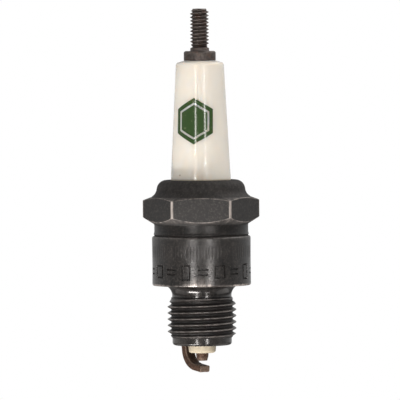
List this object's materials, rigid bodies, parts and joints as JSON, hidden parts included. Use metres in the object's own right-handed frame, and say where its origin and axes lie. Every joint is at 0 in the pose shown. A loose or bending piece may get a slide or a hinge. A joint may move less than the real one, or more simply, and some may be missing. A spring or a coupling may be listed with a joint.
{
  "type": "spark plug",
  "caption": "Spark plug: threaded terminal stud on a tapered glazed insulator, blackened steel shell with hexagon and short M14 thread, and a bent ground electrode under the centre electrode.",
  "frame": {"origin": "centre of the flat gasket seat, where the plug meets the engine", "axes": "+Z along the axis, from the seat to the terminal; two corners of the hexagon lie on X and two of its flats face -Y and +Y"},
  "size_m": [0.0236, 0.0206, 0.0736],
  "materials": {
    "blackened_steel": "turned, blackened and oiled, worn bright on the edges",
    "glazed_ceramic": "glossy cream glaze",
    "dark_steel": "dark oxidised steel",
    "nickel_alloy": "brown heat-oxidised nickel alloy",
    "copper": "bare copper",
    "seal_glass": "dark conductive glass",
    "packing_steel": "plain steel",
    "talc": "pressed powder"
  },
  "bodies": {
    "root": {"shell": "blackened_steel", "insulator": "glazed_ceramic", "terminal_stud": "dark_steel", "centre_electrode": "nickel_alloy", "ground_electrode": "nickel_alloy", "electrode_core": "copper", "glass_seal": "seal_glass", "upper_packing_ring": "packing_steel", "talc_packing": "talc", "lower_packing_ring": "packing_steel", "inner_gasket": "packing_steel"}
  },
  "joints": []
}
